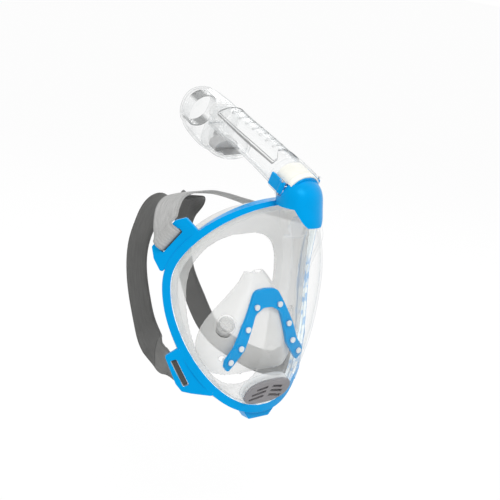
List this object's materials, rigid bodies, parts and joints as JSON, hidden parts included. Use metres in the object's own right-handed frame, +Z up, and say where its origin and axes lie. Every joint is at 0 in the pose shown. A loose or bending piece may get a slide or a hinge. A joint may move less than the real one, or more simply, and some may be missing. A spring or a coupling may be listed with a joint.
{
  "type": "snorkel mask",
  "caption": "Full-face swimming mask with a clear domed window, blue rim, soft face skirt, nose pocket, purge valve, elastic head straps and a dry-top breathing tube held by side latches",
  "frame": {"origin": "middle of the soft face seal, on the centre plane, at the level of the widest part of the face opening", "axes": "+Y points from the window into the wearer's face and on to the back of the head, +Z is up as worn, +X is the wearer's left-to-right axis, so the mask is symmetric about X = 0"},
  "size_m": [0.193, 0.2255, 0.285],
  "materials": {
    "rim_blue": "satin moulded bright blue plastic",
    "nose_blue": "satin moulded blue plastic",
    "clear_window": "clear polished polycarbonate",
    "clear_tube": "clear moulded plastic",
    "milky_silicone": "translucent milky silicone",
    "valve_silicone": "soft thin silicone",
    "gasket_cream": "matte cream silicone",
    "valve_grey": "mid grey matte plastic",
    "stud_white": "off-white moulded plastic",
    "float_foam": "dark grey closed-cell foam",
    "pin_steel": "stainless pin",
    "strap_dark": "dark grey woven elastic",
    "strap_light": "light grey woven elastic"
  },
  "bodies": {
    "mask": {"frame_ring": "rim_blue", "lens": "clear_window", "face_skirt": "milky_silicone", "nose_pocket": "milky_silicone", "nose_frame": "nose_blue", "pocket_studs": "stud_white", "purge_seat": "valve_grey", "purge_cover": "valve_grey", "snorkel_socket": "rim_blue", "duct_divider": "clear_tube", "neck_gasket": "gasket_cream", "tube_collar": "clear_tube", "tube_body": "clear_tube", "tube_panel": "clear_tube", "top_cap": "clear_tube", "cap_band": "valve_grey", "inlet_deck": "valve_grey", "lever_pin": "pin_steel", "drain_rail": "valve_grey", "strap_lower": "strap_dark", "strap_upper": "strap_light", "inhale_seat_right": "stud_white", "inhale_seat_left": "stud_white", "latch_pins": "pin_steel"},
    "purge_leaf": {"purge_diaphragm": "valve_silicone"},
    "inhale_leaf_right": {"inhale_flap_right": "valve_silicone"},
    "inhale_leaf_left": {"inhale_flap_left": "valve_silicone"},
    "latch_r": {"latch_right": "rim_blue"},
    "latch_l": {"latch_left": "rim_blue"},
    "float_block": {"float": "float_foam"},
    "lever": {"float_lever": "valve_grey", "inlet_seal": "valve_silicone"},
    "drain_leaf": {"drain_flap": "valve_silicone"}
  },
  "joints": [
    {"name": "latch_right_hinge", "type": "hinge", "parent": "mask", "child": "latch_r", "pos_m": [0.0215, -0.07441, 0.11719], "axis": [0, 0.3665, -0.9304], "range_deg": [0, 8], "stiffness_Nm_per_rad": 0.05},
    {"name": "latch_left_hinge", "type": "hinge", "parent": "mask", "child": "latch_l", "pos_m": [-0.0215, -0.07441, 0.11719], "axis": [0, -0.3665, 0.9304], "range_deg": [0, 8], "stiffness_Nm_per_rad": 0.05},
    {"name": "float_slide", "type": "slide", "parent": "mask", "child": "float_block", "axis": [0, 0.9304, 0.3665], "range_m": [0, 0.0026]},
    {"name": "lever_hinge", "type": "hinge", "parent": "mask", "child": "lever", "pos_m": [0, 0.04362, 0.14906], "axis": [1, 0, 0], "range_deg": [0, 14]},
    {"name": "purge_lift", "type": "slide", "parent": "mask", "child": "purge_leaf", "axis": [0, -0.9003, -0.4352], "range_m": [0, 0.0015], "stiffness_N_per_m": 20},
    {"name": "drain_hinge", "type": "hinge", "parent": "mask", "child": "drain_leaf", "pos_m": [0, 0.02309, 0.12792], "axis": [-1, 0, 0], "range_deg": [0, 12], "stiffness_Nm_per_rad": 0.0004},
    {"name": "inhale_right_hinge", "type": "hinge", "parent": "mask", "child": "inhale_leaf_right", "pos_m": [0.03556, -0.04078, -0.0092], "axis": [0.537, 0.8436, 0], "range_deg": [0, 20], "stiffness_Nm_per_rad": 0.0004},
    {"name": "inhale_left_hinge", "type": "hinge", "parent": "mask", "child": "inhale_leaf_left", "pos_m": [-0.03556, -0.04078, -0.0092], "axis": [0.537, -0.8436, 0], "range_deg": [0, 20], "stiffness_Nm_per_rad": 0.0004}
  ],
  "couplings": [
    {"joint": "lever_hinge", "follows": "float_slide", "rad_per_m": 93.97}
  ]
}
